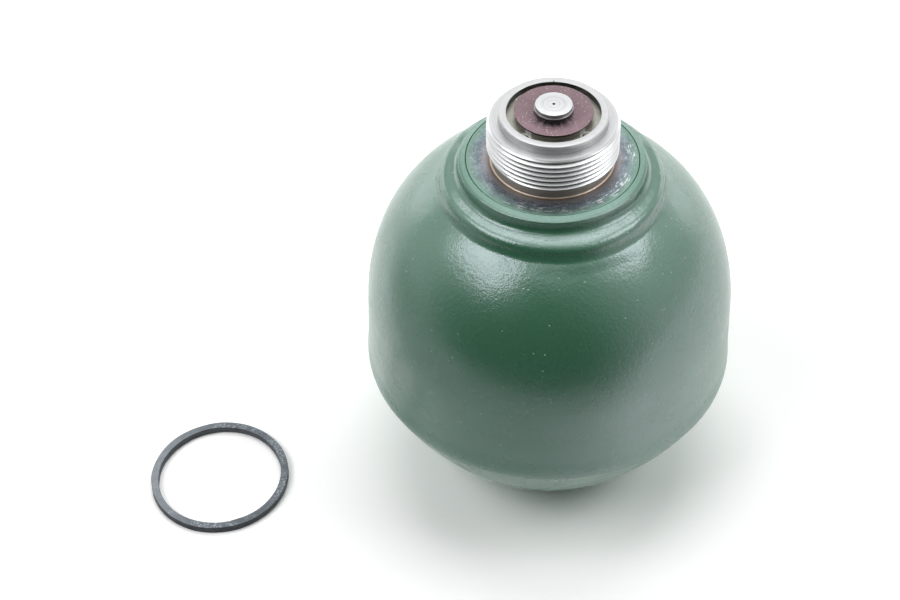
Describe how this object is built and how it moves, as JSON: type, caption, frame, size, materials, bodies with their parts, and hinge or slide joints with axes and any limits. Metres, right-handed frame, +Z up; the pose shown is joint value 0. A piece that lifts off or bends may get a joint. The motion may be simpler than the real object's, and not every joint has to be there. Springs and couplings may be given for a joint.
{
  "type": "suspension sphere",
  "caption": "Round green pressure vessel with a stepped collar, a bright threaded neck holding a disc damper valve, and its loose square-section seal ring.",
  "frame": {"origin": "centre of the base's flat foot, on the sphere's axis and on the surface it stands on", "axes": "+Z up the axis and out of the neck; the loose seal ring lies towards -X; -Y faces the viewer"},
  "size_m": [0.1689, 0.1044, 0.1245],
  "materials": {
    "green_paint": "gloss",
    "turned_steel": "turned",
    "valve_body_steel": "sintered",
    "tempered_steel": "tempered",
    "dark_spring_steel": "oiled",
    "membrane_rubber": "matte",
    "seal_rubber": "matte",
    "zinc_steel": "zinc plated",
    "copper": "satin"
  },
  "bodies": {
    "root": {"upper_shell": "green_paint", "lower_shell": "green_paint", "threaded_neck": "turned_steel", "damper_body": "valve_body_steel", "top_disc": "tempered_steel", "second_disc": "dark_spring_steel", "third_disc": "dark_spring_steel", "upper_spacer": "turned_steel", "lower_first_disc": "dark_spring_steel", "lower_second_disc": "dark_spring_steel", "lower_third_disc": "dark_spring_steel", "lower_spacer": "turned_steel", "damper_rivet": "turned_steel", "diaphragm": "membrane_rubber", "diaphragm_cup": "zinc_steel", "clamp_ring": "zinc_steel", "filler_plug": "zinc_steel", "filler_seal": "copper", "seal_ring": "seal_rubber"}
  },
  "joints": []
}
